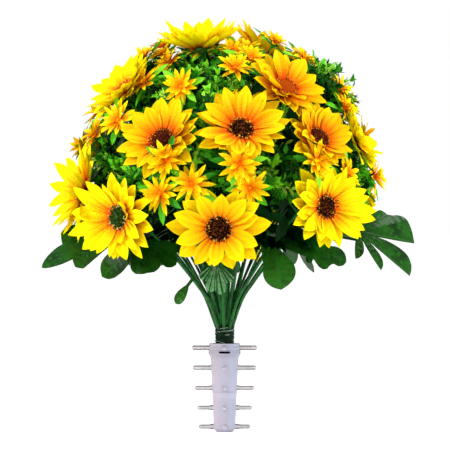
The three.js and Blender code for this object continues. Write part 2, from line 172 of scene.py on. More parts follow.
def unit(vectors):
    return vectors / np.linalg.norm(vectors, axis=-1, keepdims=True)


def axes_along(out):
    """Rows: two axes square to out, and out."""
    across = unit(np.cross([0.0, 0.0, 1.0], out) + [1e-6, 0, 0])
    return np.array([across, np.cross(out, across), out])


def on_crown(azimuth, elevation, reach):
    return CROWN_CENTRE + reach * CROWN_RADII * direction(azimuth, elevation)


def smooth_path(points, steps):
    """A smooth line through the given points (Catmull-Rom)."""
    points = np.asarray(points, float)
    padded = np.vstack([2 * points[0] - points[1], points, 2 * points[-1] - points[-2]])
    t = np.linspace(0, len(points) - 1, steps)
    i = np.minimum(t.astype(int), len(points) - 2)
    u = (t - i)[:, None]
    p0, p1, p2, p3 = (padded[i + k] for k in range(4))
    bend = 2 * p0 - 5 * p1 + 4 * p2 - p3
    return 0.5 * (2 * p1 + (p2 - p0) * u + bend * u**2 + (3 * p1 - p0 - 3 * p2 + p3) * u**3)


def node_points(node):
    """The corners of a CAD node, in metres."""
    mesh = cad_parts[node].data
    points = np.empty(len(mesh.vertices) * 3)
    mesh.vertices.foreach_get("co", points)
    matrix = np.array(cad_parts[node].matrix_world)
    return points.reshape(-1, 3) @ matrix[:3, :3].T + matrix[:3, 3]


# ---- joined meshes ----
def new_object(name, data):
    """An object of the scene that shows this data."""
    made = bpy.data.objects.new(name, data)
    bpy.context.scene.collection.objects.link(made)
    return made


class Place:
    """Where a flower or peg sits: its axes, its hub, and a flower's radius."""

    def __init__(self, axes, hub, radius=0.0):
        self.axes, self.hub, self.radius = axes, hub, radius

    def world(self, local):
        return self.hub + local @ self.axes


UPRIGHT = Place(np.eye(3), np.zeros(3))


class Bundle:
    """Collects the points and faces of one joined piece, with a material slot for each face."""

    def __init__(self):
        self.parts, self.count = [], 0

    def add(self, points, faces, slots=0):
        """points: (n, 3) or (copies, n, 3); slots: one for all, or one by face or by copy."""
        copies = np.asarray(points, float).reshape(-1, *np.shape(points)[-2:])
        starts = self.count + np.arange(len(copies)) * copies.shape[1]
        corners = starts[:, None, None] + faces[None]
        slots = np.broadcast_to(slots, corners.shape[:2])
        sizes = np.full(slots.size, faces.shape[1])
        self.parts.append((copies.reshape(-1, 3), corners.ravel(), sizes, slots.ravel()))
        self.count += copies.shape[0] * copies.shape[1]

    def build(self, name, materials, slot, replaced=()):
        """The joined piece, riding on the body and standing for the CAD nodes it replaces."""
        points, corners, sizes, slots = (np.concatenate(part) for part in zip(*self.parts))
        mesh = bpy.data.meshes.new(name)
        mesh.vertices.add(len(points))
        mesh.vertices.foreach_set("co", points.ravel())
        mesh.loops.add(len(corners))
        mesh.loops.foreach_set("vertex_index", corners)
        mesh.polygons.add(len(sizes))
        mesh.polygons.foreach_set("loop_start", np.concatenate(([0], np.cumsum(sizes)[:-1])))
        mesh.polygons.foreach_set("use_smooth", np.ones(len(sizes), bool))
        for made in materials:
            mesh.materials.append(made)
        mesh.polygons.foreach_set("material_index", slots)
        mesh.update(calc_edges=True)
        mesh.validate()
        piece = new_object(name, mesh)
        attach(piece, BODY)
        if replaced:
            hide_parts(*replaced)


def grid_faces(rows, columns, closed=False):
    """Quads of a grid stored row by row; closed joins the last column to the first."""
    across = columns if closed else columns - 1
    row, column = np.meshgrid(np.arange(rows - 1), np.arange(across), indexing="ij")
    a = row * columns + column
    b = row * columns + (column + 1) % columns
    return np.stack([a, b, b + columns, a + columns], -1).reshape(-1, 4)


def add_tube(bundle, path, radii, sides, rib=0.0, ribs=4, slot=0):
    """A tube along a path whose radii (mm) run from one to the next; rib is the depth of its
    lengthwise ribs as a share of its radius."""
    path = np.asarray(path, float)
    tangents = unit(np.gradient(path, axis=0))
    overall = unit(path[-1] - path[0])
    reference = np.eye(3)[np.abs(overall).argmin()]
    side = unit(np.cross(tangents, reference))
    over = np.cross(side, tangents)
    angle = np.arange(sides) / sides * TURN
    ridge = 1 + rib * np.cos(ribs * angle)
    at = np.linspace(0, len(radii) - 1, len(path))
    radii = np.interp(at, np.arange(len(radii)), radii)[:, None, None] * MM
    ring = (np.cos(angle) * ridge)[None, :, None] * side[:, None]
    ring = ring + (np.sin(angle) * ridge)[None, :, None] * over[:, None]
    points = path[:, None] + radii * ring
    bundle.add(points.reshape(-1, 3), grid_faces(len(path), sides, True), slot)


def add_lathe(bundle, profile, sides, slots=0, place=UPRIGHT, rib=0.0, ribs=8):
    """A turned shape about an axis: profile is (radius, height) in metres."""
    profile = np.asarray(profile, float)
    angle = np.arange(sides) / sides * TURN
    radius = profile[:, :1] * (1 + rib * np.cos(ribs * angle))
    local = np.stack([radius * np.cos(angle), radius * np.sin(angle),
                      np.broadcast_to(profile[:, 1:], radius.shape)], -1)
    faces = grid_faces(len(profile), sides, True)
    bundle.add(place.world(local.reshape(-1, 3)), faces, slots)


# A small leaf of eight faces, one long and one wide, folded along its rib.
LEAFLET = np.array([
    [0, 0, 0], [-0.42, 0.3, 0.07], [0, 0.32, 0], [0.42, 0.3, 0.07],
    [-0.46, 0.64, 0.05], [0, 0.67, -0.03], [0.46, 0.64, 0.05], [0, 1, -0.1],
])
LEAFLET_FACES = np.array([
    [0, 2, 1], [0, 3, 2], [1, 2, 5], [1, 5, 4], [2, 3, 6], [2, 6, 5], [4, 5, 7], [5, 6, 7],
])


def add_leaflets(bundle, keep, leaflets, slots):
    """Copies of the small leaf: the kept roots, directions, normals, lengths and widths."""
    roots, along, normals, lengths, widths = (part[keep] for part in leaflets)
    along = unit(along)
    across = unit(np.cross(along, normals))
    over = np.cross(across, along)
    x, y, z = (LEAFLET[None, :, i, None] for i in range(3))
    size, wide = lengths[:, None, None], widths[:, None, None]
    points = roots[:, None] + across[:, None] * x * wide + along[:, None] * y * size
    slots = np.reshape(slots, (-1, 1))
    bundle.add(points + over[:, None] * z * size, LEAFLET_FACES, slots)


# ---- materials ----
def linear(colour):
    """An #rrggbb colour as linear RGBA."""
    channels = [int(colour[i:i + 2], 16) / 255 for i in (1, 3, 5)]
    return [c / 12.92 if c <= 0.04045 else ((c + 0.055) / 1.055) ** 2.4 for c in channels] + [1.0]


def new_node(made, kind, **inputs):
    node = made.node_tree.nodes.new("ShaderNode" + kind)
    for name, value in inputs.items():
        node.inputs[name.replace("_", " ")].default_value = value
    return node


def join(made, source, output, target, socket):
    """Joins an output of one node of a material to a socket of another."""
    made.node_tree.links.new(source.outputs[output], target.inputs[socket])


def noise_node(made, size, detail):
    noise = new_node(made, "TexNoise", Scale=1 / size, Detail=detail)
    join(made, new_node(made, "TexCoord"), "Object", noise, "Vector")
    return noise


def ramp_node(made, source, output, stops):
    """A colour ramp over a node's output; each stop is a position and a colour."""
    node = new_node(made, "ValToRGB")
    elements = node.color_ramp.elements
    for i, (position, colour) in enumerate(stops):
        stop = elements[i] if i < 2 else elements.new(position)
        stop.position = position
        stop.color = colour
    join(made, source, output, node, "Fac")
    return node


def shader_of(made):
    return made.node_tree.nodes["Principled BSDF"]


def material(name, colour, roughness, grain=1.5 * MM, bump=0.15, sockets=()):
    """A plain base colour, with a procedural grain in its roughness and its surface."""
    made = bpy.data.materials.new(name)
    made.use_nodes = True
    made.diffuse_color = linear(colour)
    shader = shader_of(made)
    shader.inputs["Base Color"].default_value = linear(colour)
    noise = noise_node(made, grain, 3.0)
    spread = new_node(made, "MapRange", To_Min=roughness - 0.12, To_Max=roughness + 0.12)
    join(made, noise, "Fac", spread, "Value")
    join(made, spread, "Result", shader, "Roughness")
    relief = new_node(made, "Bump", Strength=bump, Distance=grain * 0.4)
    join(made, noise, "Fac", relief, "Height")
    join(made, relief, "Normal", shader, "Normal")
    for socket, value in dict(sockets).items():
        shader.inputs[socket].default_value = value
    return made


def mottle(made, second, scale):
    """Lets a second colour drift over a material's own, in patches of the given size."""
    shader = shader_of(made)
    own = shader.inputs["Base Color"].default_value
    ramp = ramp_node(made, noise_node(made, scale, 4.0), "Fac",
                     [(0.35, own), (0.65, linear(second))])
    join(made, ramp, "Color", shader, "Base Color")
    return made


CLOTH = {"Specular IOR Level": 0.06}
SATIN = {"Specular IOR Level": 0.12}
GLOSSY = {"Specular IOR Level": 0.3}

# Petal colours from the base to the tip, for each tone. Lemon is a brighter and golden a
# darker copy of the heads' yellow, partly their own tones and mostly painted light: lemon
# goes to heads in the side and top light, golden to heads that get less.
PETAL_BANDS = {
    "golden": ["#A82C00", "#CC4400", "#DC6000", "#E47A00", "#E69200", "#E8A400", "#E8B200",
               "#EABE00", "#EAC600", "#ECCC00"],
    "yellow": ["#A42C00", "#D05400", "#E07E00", "#E69800", "#E8AA00", "#E8B600", "#EABE00",
               "#EAC600", "#ECCC00", "#ECD200"],
    "lemon": ["#B83400", "#D65800", "#E68200", "#EAA200", "#ECB800", "#EEC800", "#F0D200",
              "#F0DA00", "#F2E000", "#F4E600"],
}
DAISY_BANDS = ["#E66C00", "#EC9400", "#EEB200", "#F0C800", "#F2D808"]
SPRAY_TONES = ["#12500A", "#2C860E", "#50B416", "#7CD024", "#AEDE48", "#083208"]


def tone_materials(kind, colours, roughness, grain=1.2 * MM, bump=0.2, sockets=CLOTH):
    """Materials that differ only in their colours."""
    return [material(f"{kind}_{i}", colour, roughness, grain, bump, sockets)
            for i, colour in enumerate(colours)]


def spray_materials(kind):
    return tone_materials(kind, SPRAY_TONES, 0.45, 1 * MM, 0.2, SATIN)


# ---- flower heads ----
def head_place(node):
    """A CAD head's place: its hub lies in front of the back end of its calyx."""
    azimuth, elevation = HEADS[node][:2]
    axes = facing(azimuth, elevation)
    points = node_points(node)
    depth = points @ axes[2]
    root = points[depth < depth.min() + 0.5 * MM].mean(axis=0)
    hub = root + axes[2] * CALYX_DEPTH
    radius = np.linalg.norm((points - hub) @ axes[:2].T, axis=1).max()
    return Place(facing(azimuth, elevation + TIPPED_UP.get(node, 0)), hub, radius)


# Where a petal is widest, by share of its length, and how wide its base and tip are.
WIDEST, BASE_WIDTH, TIP_WIDTH = 0.55, 0.36, 0.03


def petal_outline(t):
    """Half width along a petal, as a share of its widest, from a narrow base to a pointed tip."""
    swell = np.sin(np.pi / 2 * np.clip(t / WIDEST, 0, 1)) ** 1.3
    taper = np.clip((t - WIDEST) / (1 - WIDEST), 0, 1) ** 2.2
    return np.where(t < WIDEST, BASE_WIDTH + (1 - BASE_WIDTH) * swell,
                    (1 - taper) * (1 - TIP_WIDTH) + TIP_WIDTH)


def petal_points(length, width, rise, curl, cupping, pleats, rows, columns):
    """A petal along +Y that faces +Z: rise is its slope at the base and curl is what it gains by
    the tip (radians), cupping lifts its sides, and pleats is the depth of its folds."""
    t = np.linspace(0, 1, rows)[:, None]
    s = np.linspace(-1, 1, columns)[None]
    half = width / 2 * petal_outline(t)
    slope = rise + curl * t**2
    step = length / (rows - 1)
    along = np.cumsum(np.cos(slope), axis=0) * step - step
    height = np.cumsum(np.sin(slope), axis=0) * step
    wave = rng.uniform(0, TURN)
    bow = cupping * half * s**2 + pleats * np.cos(2.5 * np.pi * s) * np.sin(np.pi * t) ** 0.5
    bow = bow + 0.06 * width * s * np.sin(5 * t + wave) * t
    twist = rng.normal(0, 0.22) * t
    x = half * s * np.cos(twist) - bow * np.sin(twist)
    over = half * s * np.sin(twist) + bow * np.cos(twist)
    x = x + rng.normal(0, 0.05) * length * t**2
    return np.stack([x, along - over * np.sin(slope), height + over * np.cos(slope)], -1)


def turned(points, angle):
    """Points turned about +Z, so that +Y goes to the given angle clockwise from it."""
    x, y, z = np.moveaxis(points, -1, 0)
    c, s = cos(angle), sin(angle)
    return np.stack([x * c + y * s, -x * s + y * c, z], -1)


def add_petal(bundle, place, points, outwards, up, angle, slots=0):
    """Sets a petal this far out and up from its flower's hub, turned to its angle."""
    points = turned(points + [0, outwards, up], angle)
    bundle.add(place.world(points.reshape(-1, 3)), grid_faces(*points.shape[:2]), slots)


PETAL_GRID = (20, 9)
PETAL_COUNTS = {"golden": 12, "yellow": 10, "lemon": 15}
# The two whorls of a head: reach, base height (mm) and extra rise (radians).
WHORLS = [(1.0, -1.0, 0.0), (0.93, 1.5, 0.15)]
BASE_RADIUS = 10 * MM
PLEAT_DEPTH = 0.85 * MM
# Where the short petals stand, from straight up, and how far apart (radians).
SHORT_SIDE, SHORT_STEP = 1.7, 0.52


def petal_bands(count):
    """The colour band of each face of a petal: its orange runs further out in the hollows of its
    pleats, as painted shade, and less far on their ridges, as painted light, with some random
    streaking.
    """
    rows, columns = PETAL_GRID[0] - 1, PETAL_GRID[1] - 1
    t = (np.arange(rows)[:, None] + 0.5) / rows
    s = (np.arange(columns)[None] + 0.5) / columns * 2 - 1
    # The cosine term follows the pleats and paints shade and light; the random terms are the
    # petal's own streaks.
    crease_shade_and_streaks = 0.07 * np.cos(2.5 * np.pi * s) + rng.normal(0, 0.04, s.shape) + rng.normal(0, 0.04)
    shade = np.clip(t + crease_shade_and_streaks * np.sin(np.pi * t), 0, 0.999)
    return (shade**0.9 * count).astype(int).reshape(-1)


def add_head_petals(bundle, node):
    """Two whorls of petals round the disc, and a few short ones that curl up beside it."""
    _, _, cup, short, wide, tall, tone, _ = HEADS[node]
    place, count, bands = places[node], PETAL_COUNTS[tone], len(PETAL_BANDS[tone])
    first_slot = list(PETAL_BANDS).index(tone) * bands
    rise = atan2(cup * MM, place.radius) * 0.55
    turn = rng.uniform(0, TURN)
    width = (10 + 112 / count) * MM
    for reach, base, extra in WHORLS:
        for k in range(count):
            angle = turn + TURN * (k + rng.uniform(-0.16, 0.16)) / count
            oval = hypot(wide * sin(angle), tall * cos(angle))
            tip = place.radius * reach * oval * rng.uniform(0.88, 1.03)
            lift = rise + extra + rng.normal(0, 0.1)
            points = petal_points(
                (tip - BASE_RADIUS) * 1.03, width * rng.uniform(0.88, 1.1), lift,
                rise * 1.2 + rng.normal(0, 0.22), rng.uniform(0.15, 0.5), PLEAT_DEPTH,
                *PETAL_GRID)
            add_petal(bundle, place, points, BASE_RADIUS, base * MM, angle,
                      first_slot + petal_bands(bands))
        turn += np.pi / count
    # The short petals stand on the side nearer the front of the bush.
    side = -np.sign(place.axes[2][0]) * SHORT_SIDE
    for k in range(short):
        points = petal_points(
            place.radius * rng.uniform(0.4, 0.62), 15 * MM, 0.5 + rng.normal(0, 0.12),
            0.3 + rng.normal(0, 0.3), 0.5, 0.4 * MM, *PETAL_GRID)
        angle = side + SHORT_STEP * (k - (short - 1) / 2) + rng.normal(0, 0.1)
        add_petal(bundle, place, points, DISC_RADIUS * 0.95, 2.5 * MM, angle,
                  first_slot + petal_bands(bands))


FLORETS, STAMENS = 170, 84
DOME_RADIUS = DISC_RADIUS * 0.68
DOME_RISE = 3.5 * MM
GOLDEN_ANGLE = radians(137.508)


def add_disc(bundle, place, slots):
    """A domed disc of pointed florets with rings of curling stamens round it."""
    centre, ring, anther = slots
    profile = [(DOME_RADIUS * sin(a), DOME_RISE * (1 + cos(a)))
               for a in np.linspace(1.6, 0.02, 7)]
    skirt = [(DISC_RADIUS * 1.04, 2.4 * MM), (DISC_RADIUS * 0.97, 4.2 * MM),
             (DOME_RADIUS * 1.1, 4.4 * MM)]
    add_lathe(bundle, skirt + profile, 20, centre, place)
    k = np.arange(FLORETS)
    radius = DOME_RADIUS * np.sqrt((k + 0.5) / FLORETS)
    angle = k * GOLDEN_ANGLE
    height = DOME_RISE * (1 + np.sqrt(1 - (radius / DOME_RADIUS) ** 2 * 0.98))
    foot = np.stack([radius * np.cos(angle), radius * np.sin(angle), height], -1)
    size = rng.uniform(0.8, 1.4, FLORETS)[:, None] * MM
    corners = [np.array([cos(a), sin(a), 0]) * 0.8 for a in np.arange(5) * TURN / 5]
    spike = np.array(corners + [[0, 0, 1.8]])
    points = foot[:, None] + spike[None] * size[:, None]
    faces = np.array([[i, (i + 1) % 5, 5] for i in range(5)])
    tones = np.where(rng.uniform(0, 1, FLORETS) < 0.3, ring, centre)[:, None]
    bundle.add(place.world(points.reshape(-1, 3)).reshape(points.shape), faces, tones)
    for k in range(STAMENS):
        start = rng.uniform(DOME_RADIUS * 0.95, DISC_RADIUS)
        angle = TURN * (k + rng.uniform(-0.3, 0.3)) / STAMENS
        reach = rng.uniform(0.5, 4.0) * MM
        high = rng.uniform(5.0, 8.0) * MM
        swing = rng.normal(0, 2.0) * MM
        local = np.array([
            [0, start, 0], [0, start + 0.3 * reach, high * 0.7],
            [swing * 0.5, start + 0.8 * reach, high], [swing, start + reach, high * 0.75]])
        path = place.world(turned(smooth_path(local, 6), angle))
        add_tube(bundle, path, (0.55, 0.4), 3, slot=ring)
        if k % 2:
            beyond = path[-3:] + (path[-1] - path[-2]) * 0.4
            add_tube(bundle, beyond, (0.1, 1.2, 0.1), 4, slot=anther)


# The cup behind a head: (radius, height) in mm, from its stalk up.
CALYX_PROFILE = [
    (1.7, -24), (1.9, -19), (2.9, -14), (5.5, -9), (8.5, -4.5), (9.5, -1.5), (6, -1),
]
SEPALS = 9


def add_calyx(bundle, place):
    """A ribbed cup behind the petals, narrowing to the stalk, with a ring of sepals."""
    profile = np.array(CALYX_PROFILE) * MM
    add_lathe(bundle, profile, 24, 0, place, rib=0.06, ribs=8)
    for k in range(SEPALS):
        points = petal_points(
            place.radius * rng.uniform(0.34, 0.46), 11 * MM, 0.1, 0.5, 0.35, 0.2 * MM, 6, 5)
        angle = TURN * (k + rng.uniform(-0.2, 0.2)) / SEPALS
        add_petal(bundle, place, points, 8 * MM, -4 * MM, angle)


places = {node: head_place(node) for node in HEADS}

# The materials of the discs, and the three that each look uses: centre, ring and anthers.
DISC_COLOURS = {
    "disc_brown": "#1C0802", "disc_stamen": "#6A3208", "disc_anther": "#E6AE3A",
    "disc_russet": "#421004", "disc_green": "#18300A", "disc_rim": "#D2C878",
    "disc_green_tip": "#3E5A1E", "disc_orange": "#B04A04",
}
DISC_LOOKS = {"brown": (0, 1, 2), "russet": (3, 1, 2), "green": (4, 6, 5), "orange": (7, 7, 2)}


def disc_material(name, colour):
    """The centre of a disc is rougher than what stands round it."""
    if name[5:] in DISC_LOOKS:
        return material(name, colour, 0.8, 0.6 * MM, 0.4, CLOTH)
    return material(name, colour, 0.7, 0.5 * MM, 0.3, CLOTH)


def make_heads():
    petals, discs, calyces = Bundle(), Bundle(), Bundle()
    for node in HEADS:
        add_head_petals(petals, node)
    for node, head in HEADS.items():
        add_disc(discs, places[node], DISC_LOOKS[head[-1]])
    for place in places.values():
        add_calyx(calyces, place)
    colours = sum(PETAL_BANDS.values(), [])
    petals.build("petals", tone_materials("petal", colours, 0.72), "petals", HEADS)
    discs.build("discs", [disc_material(*item) for item in DISC_COLOURS.items()], "petals")
    calyx_green = material("calyx_green", "#2C6A22", 0.6, 1 * MM, 0.3, GLOSSY)
    calyces.build("calyces", [calyx_green], "sprays")


# ---- daisies ----
DAISY_GRID = (6, 4)
# The two whorls of a daisy: petals, reach and rise (radians).
DAISY_WHORLS = [(12, 1.0, 0.2), (9, 0.8, 0.55)]
# The green cup behind a daisy: (radius, height) in mm.
DAISY_CUP = [(1.1, -11), (1.4, -8), (3.6, -3), (4.2, 0.5)]


def add_daisy(petals, greens, place):
    """Two whorls of narrow petals round an orange button, over a few pointed leaves."""
    bands = np.repeat(np.arange(DAISY_GRID[0] - 1), DAISY_GRID[1] - 1)
    turn = rng.uniform(0, TURN)
    for count, reach, rise in DAISY_WHORLS:
        for k in range(count):
            length = place.radius * reach * rng.uniform(0.85, 1.05)
            points = petal_points(
                length, 6.2 * MM, rise + rng.normal(0, 0.12), rng.normal(-0.1, 0.25), 0.35,
                0.15 * MM, *DAISY_GRID)
            angle = turn + TURN * (k + rng.uniform(-0.2, 0.2)) / count
            add_petal(petals, place, points, 1.5 * MM, 0, angle, bands)
        turn += 0.3
    button = [(3.4 * sin(a) * MM, (2 + 2.2 * cos(a)) * MM) for a in np.linspace(1.9, 0.05, 5)]
    add_lathe(petals, button, 10, len(DAISY_BANDS), place)
    add_lathe(greens, np.array(DAISY_CUP) * MM, 8, 2, place)
    count = rng.integers(4, 7)
    for k in range(count):
        points = petal_points(
            rng.uniform(26, 37) * MM, 8.5 * MM, rng.uniform(0.0, 0.35), -0.2, 0.4, 0.2 * MM,
            *DAISY_GRID)
        angle = TURN * (k + rng.uniform(-0.3, 0.3)) / count
        add_petal(greens, place, points, 3 * MM, -5 * MM, angle, rng.integers(1, 4))


daisy_places = []
for azimuth, elevation, reach, size in DAISIES:
    tilt = facing(azimuth + rng.normal(0, 8), elevation * 0.8 + rng.normal(6, 8))
    daisy_places.append(Place(tilt, on_crown(azimuth, elevation, reach), DAISY_RADIUS * size))


def make_daisies():
    petals, greens = Bundle(), Bundle()
    for place in daisy_places:
        add_daisy(petals, greens, place)
    button = material("daisy_button", "#EE8408", 0.8, 0.6 * MM, 0.5, CLOTH)
    petals.build("daisy_petals", tone_materials("daisy", DAISY_BANDS, 0.72) + [button], "petals")
    greens.build("daisy_leaves", spray_materials("daisy_leaf"), "sprays")


# ---- stems, stalks and twigs ----
STEMS = sorted(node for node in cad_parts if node.startswith("stem_"))
MASSES = sorted(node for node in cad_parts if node.startswith("foliage_"))
# Radii of the two rings of thin stems on the neck (mm), with one stem to a mass in each.
THIN_STEM_RINGS = (9.4, 5.6)
# How a thin stem nears its mass: shares of the way across and of the way up.
THIN_STEM_CURVE = [(0.3, 0.45), (0.66, 0.78), (0.9, 0.96)]


def stem_line(node):
    """The middle line of a CAD stem, from its foot on the neck up to where it ends."""
    points = node_points(node)
    levels = np.array_split(points[points[:, 2].argsort()], 7)
    return smooth_path([level.mean(axis=0) for level in levels], 26)


stem_lines = {node: stem_line(node) for node in STEMS}
NECK_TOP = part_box("neck")[1][2]


def nearest_stem(target):
    """The upper part of the stem whose end is nearest a point: its last stretch."""
    ends = {node: np.linalg.norm(line[-1] - target) for node, line in stem_lines.items()}
    return stem_lines[min(ends, key=ends.get)]


def inside_neck(foot):
    """A point within the bound neck, below and inward from a stem's foot."""
    return foot * [0.8, 0.8, 1] - [0, 0, 10 * MM]


def thin_stem(node, ring):
    """A line from a ring of the neck to somewhere near the middle of a mass."""
    target = node_points(node).mean(axis=0) + rng.normal(0, 8 * MM, 3)
    foot = unit(target * [1, 1, 0]) * ring * MM + [0, 0, NECK_TOP]
    path = [inside_neck(foot), foot + [0, 0, 9 * MM]]
    for share, rise in THIN_STEM_CURVE:
        point = foot + (target - foot) * share
        point[2] = foot[2] + (target[2] - foot[2]) * rise
        path.append(point)
    return smooth_path(path, 22)


def stalk(place):
    """A line from the nearest stem round to the back of a flower."""
    line = nearest_stem(place.hub)
    back = place.hub - place.axes[2] * min(CALYX_DEPTH, place.radius * 0.4)
    bend = back - place.axes[2] * 22 * MM - [0, 0, 10 * MM]
    sag = (line[-1] + bend) / 2 - [0, 0, 4 * MM]
    return smooth_path([line[-4], line[-1], sag, bend, back], 16)


def make_stems():
    stems = Bundle()
    for line in stem_lines.values():
        path = smooth_path([inside_neck(line[0]), *line[4::3], line[-1]], 30)
        add_tube(stems, path, (2.2, 1.5), 12, rib=0.1, ribs=5)
    for ring in THIN_STEM_RINGS:
        for node in MASSES:
            add_tube(stems, thin_stem(node, ring), (1.7, 1.1), 8, rib=0.1, ribs=4)
    for place in places.values():
        add_tube(stems, stalk(place), (1.5,), 6, rib=0.08, ribs=3)
    for place in daisy_places:
        add_tube(stems, stalk(place), (0.8,), 6, rib=0.08, ribs=3)
    # The lighter green patches over the stems' own dark green are painted highlight.
    plastic = mottle(material("stem_plastic", "#053C0E", 0.5, 1.2 * MM, 0.3, GLOSSY),
                     "#0A6A1A", 9 * MM)
    stems.build("stems", [plastic], "stems", STEMS)


# Boughs in a mass, and twigs on a bough.
BOUGHS, TWIGS = 8, 7
SPRAY_LENGTH = 54 * MM
# Each kind of spray: its whorls of leaflets, where they start and how far apart (mm), the turns
# in a whorl, the winding between whorls and its spread, lean (radians), length, how much shorter
# each whorl is, and width (mm); then its tip's turns, lean, length and width.
SPRAYS = {
    "box": (9, 6, 5.2, (0, np.pi), np.pi / 2, 0.25, 0.85, 12, 0, 6.2,
            (0.5, 2.6, 4.7), 0.4, 11, 5.5),
    "fern": (16, 4, 3.0, (0, 2.1, 4.2), 1.1, 0.2, 0.8, 13, 0.4, 2.4,
             (0.2, 2.2, 4.4), 0.25, 9, 2.2),
    "lance": (8, 10, 5.5, (0,), 2.4, 0.2, 0.75, 20, 1, 5.6, (), 0, 0, 0),
}
SPRAY_KINDS = tuple(SPRAYS)
# The chances of the kinds and tones of sprays, in the masses and between them.
MASS_KINDS, MASS_TONES = (0.45, 0.35, 0.2), (0.14, 0.2, 0.24, 0.22, 0.12, 0.08)
FILL_KINDS, FILL_TONES = (0.45, 0.3, 0.25), (0.18, 0.22, 0.23, 0.18, 0.08, 0.11)


def spray_parts(kind):
    """Leaflets on a twig that grows along +Z: roots, directions, normals, lengths, widths."""
    (whorls, start, step, turns, winding, spread, lean, length, shrink, width,
     tip_turns, tip_lean, tip_length, tip_width) = SPRAYS[kind]
    rows = [((start + step * k) * MM, turn + k * winding + rng.normal(0, spread), lean,
             length - shrink * k, width) for k in range(whorls) for turn in turns]
    rows += [(52 * MM, turn, tip_lean, tip_length, tip_width) for turn in tip_turns]
    height, turn, lean, length, width = np.array(rows).T
    lean = lean + rng.normal(0, 0.12, len(rows))
    x, y, out, up = np.cos(turn), np.sin(turn), np.sin(lean), np.cos(lean)
    along = np.stack([out * x, out * y, up], -1)
    normal = np.stack([-up * x, -up * y, out], -1)
    root = height[:, None] * [0, 0, 1]
    scale = rng.uniform(0.85, 1.15, len(rows)) * MM
    return root, along, normal, length * scale, width * scale


# The space kept clear over a flower: a share of its radius, and a height.
CLEAR_SHARE, CLEAR_HEIGHT = 0.86, 90 * MM


def in_front_of_heads(points):
    """Which points lie within a flower, between its petals and in front of them."""
    hidden = np.zeros(len(points), bool)
    for place in list(places.values()) + daisy_places:
        local = (points - place.hub) @ place.axes.T
        across = np.linalg.norm(local[:, :2], axis=1)
        floor = -6 * MM + 0.2 * across
        above = (local[:, 2] > floor) & (local[:, 2] < CLEAR_HEIGHT)
        hidden |= above & (across < place.radius * CLEAR_SHARE)
    return hidden


def in_sky_gap(points):
    """Which points would close one of the crown's openings."""
    local = (points - CROWN_CENTRE)[:, [0, 2]] / MM
    across, up = local.T
    return np.any([np.hypot(across - x, up - z) < r for x, z, r in SKY_GAPS], axis=0)


def add_spray(bundle, twigs, kind, root, tip, slot):
    """A spray of leaflets on a twig from root to tip, clear of the flowers."""
    length = np.linalg.norm(tip - root)
    axes = axes_along((tip - root) / length)
    spin = rng.uniform(0, TURN)
    roots, along, normals, lengths, widths = spray_parts(kind)
    roots, along, normals = (turned(part, spin) @ axes for part in (roots, along, normals))
    roots = tip + roots - axes[2] * SPRAY_LENGTH
    tips = roots + unit(along) * lengths[:, None]
    keep = ~(in_front_of_heads(tips) | in_sky_gap(tips))
    if keep.any():
        add_leaflets(bundle, keep, (roots, along, normals, lengths, widths), slot)
        bend = (root + tip) / 2 + rng.normal(0, 2 * MM, 3)
        path = smooth_path([root, bend, tip - axes[2] * 3 * MM], 7)
        add_tube(twigs, path, (0.8, 0.4), 4)


def grow_mass(bundles, twigs, node):
    """Boughs and twigs from the nearest stem out into a mass, with a spray on every twig."""
    points = node_points(node)
    middle = (points.min(axis=0) + points.max(axis=0)) / 2
    axes = axes_along(unit(middle - CROWN_CENTRE))
    half = np.abs((points - middle) @ axes.T).max(axis=0)
    line = nearest_stem(middle)
    fork = middle - axes[2] * half[2] * 0.8
    way = [line[-3], line[-1], (line[-1] + fork) / 2, fork]
    add_tube(twigs, smooth_path(way, 12), (1.3,), 6)
    for b in range(BOUGHS):
        angle = TURN * (b + rng.uniform(-0.3, 0.3)) / BOUGHS
        spread = 0.5 * np.array([cos(angle), sin(angle), rng.uniform(-0.6, 0.4)])
        knot = middle + (spread * half) @ axes
        bend = (fork + knot) / 2 + rng.normal(0, 3 * MM, 3)
        add_tube(twigs, smooth_path([fork, bend, knot], 8), (1.1, 0.8), 5)
        for _ in range(TWIGS):
            around = angle + rng.normal(0, 0.7)
            reach = sqrt(rng.uniform(0.05, 1.0))
            height = rng.uniform(0.55, 1.0) * sqrt(max(0.0, 1 - (reach * 0.9) ** 2))
            end = np.array([reach * cos(around), reach * sin(around), height])
            tip = middle + (end * half) @ axes
            kind = rng.choice(SPRAY_KINDS, p=MASS_KINDS)
            slot = rng.choice(len(SPRAY_TONES), p=MASS_TONES)
            add_spray(bundles[kind], twigs, kind, knot, tip, slot)


FILL_SPRAYS = 380


def fill_crown(bundles, twigs):
    """Twigs with sprays on the boughs between the masses, all round the crown."""
    for _ in range(FILL_SPRAYS):
        azimuth = rng.uniform(-180, 180)
        elevation = degrees(asin(rng.uniform(-0.02, 0.98)))
        tip = on_crown(azimuth, elevation, rng.uniform(0.84, 1.0))
        root = on_crown(azimuth + rng.normal(0, 6), elevation - 4, 0.58)
        slot = rng.choice(len(SPRAY_TONES), p=FILL_TONES)
        kind = rng.choice(SPRAY_KINDS, p=FILL_KINDS)
        add_spray(bundles[kind], twigs, kind, root, tip, slot)


def make_sprays():
    bundles = {kind: Bundle() for kind in SPRAY_KINDS}
    twigs = Bundle()
    for node in MASSES:
        grow_mass(bundles, twigs, node)
    fill_crown(bundles, twigs)
    bundles["box"].build("box_leaflets", spray_materials("box_leaflet"), "sprays", MASSES)
    bundles["fern"].build("fern_leaflets", spray_materials("fern_leaflet"), "sprays")
    bundles["lance"].build("lance_leaves", spray_materials("lance_leaf"), "sprays")
    twigs.build("twigs", [material("twig_plastic", "#1E5A20", 0.55, 1 * MM, 0.2)], "stems")


# ---- leaves inside the crown, dark with painted shade ----
INNER_LEAVES, SKIRT_LEAVES = 1100, 280
# Near-black greens: the leaves' own green darkened as painted shade inside and under the crown.
INNER_SHADE_TONES = ("#032408", "#05300A", "#083E10")
INNER_WIDTH = 0.46


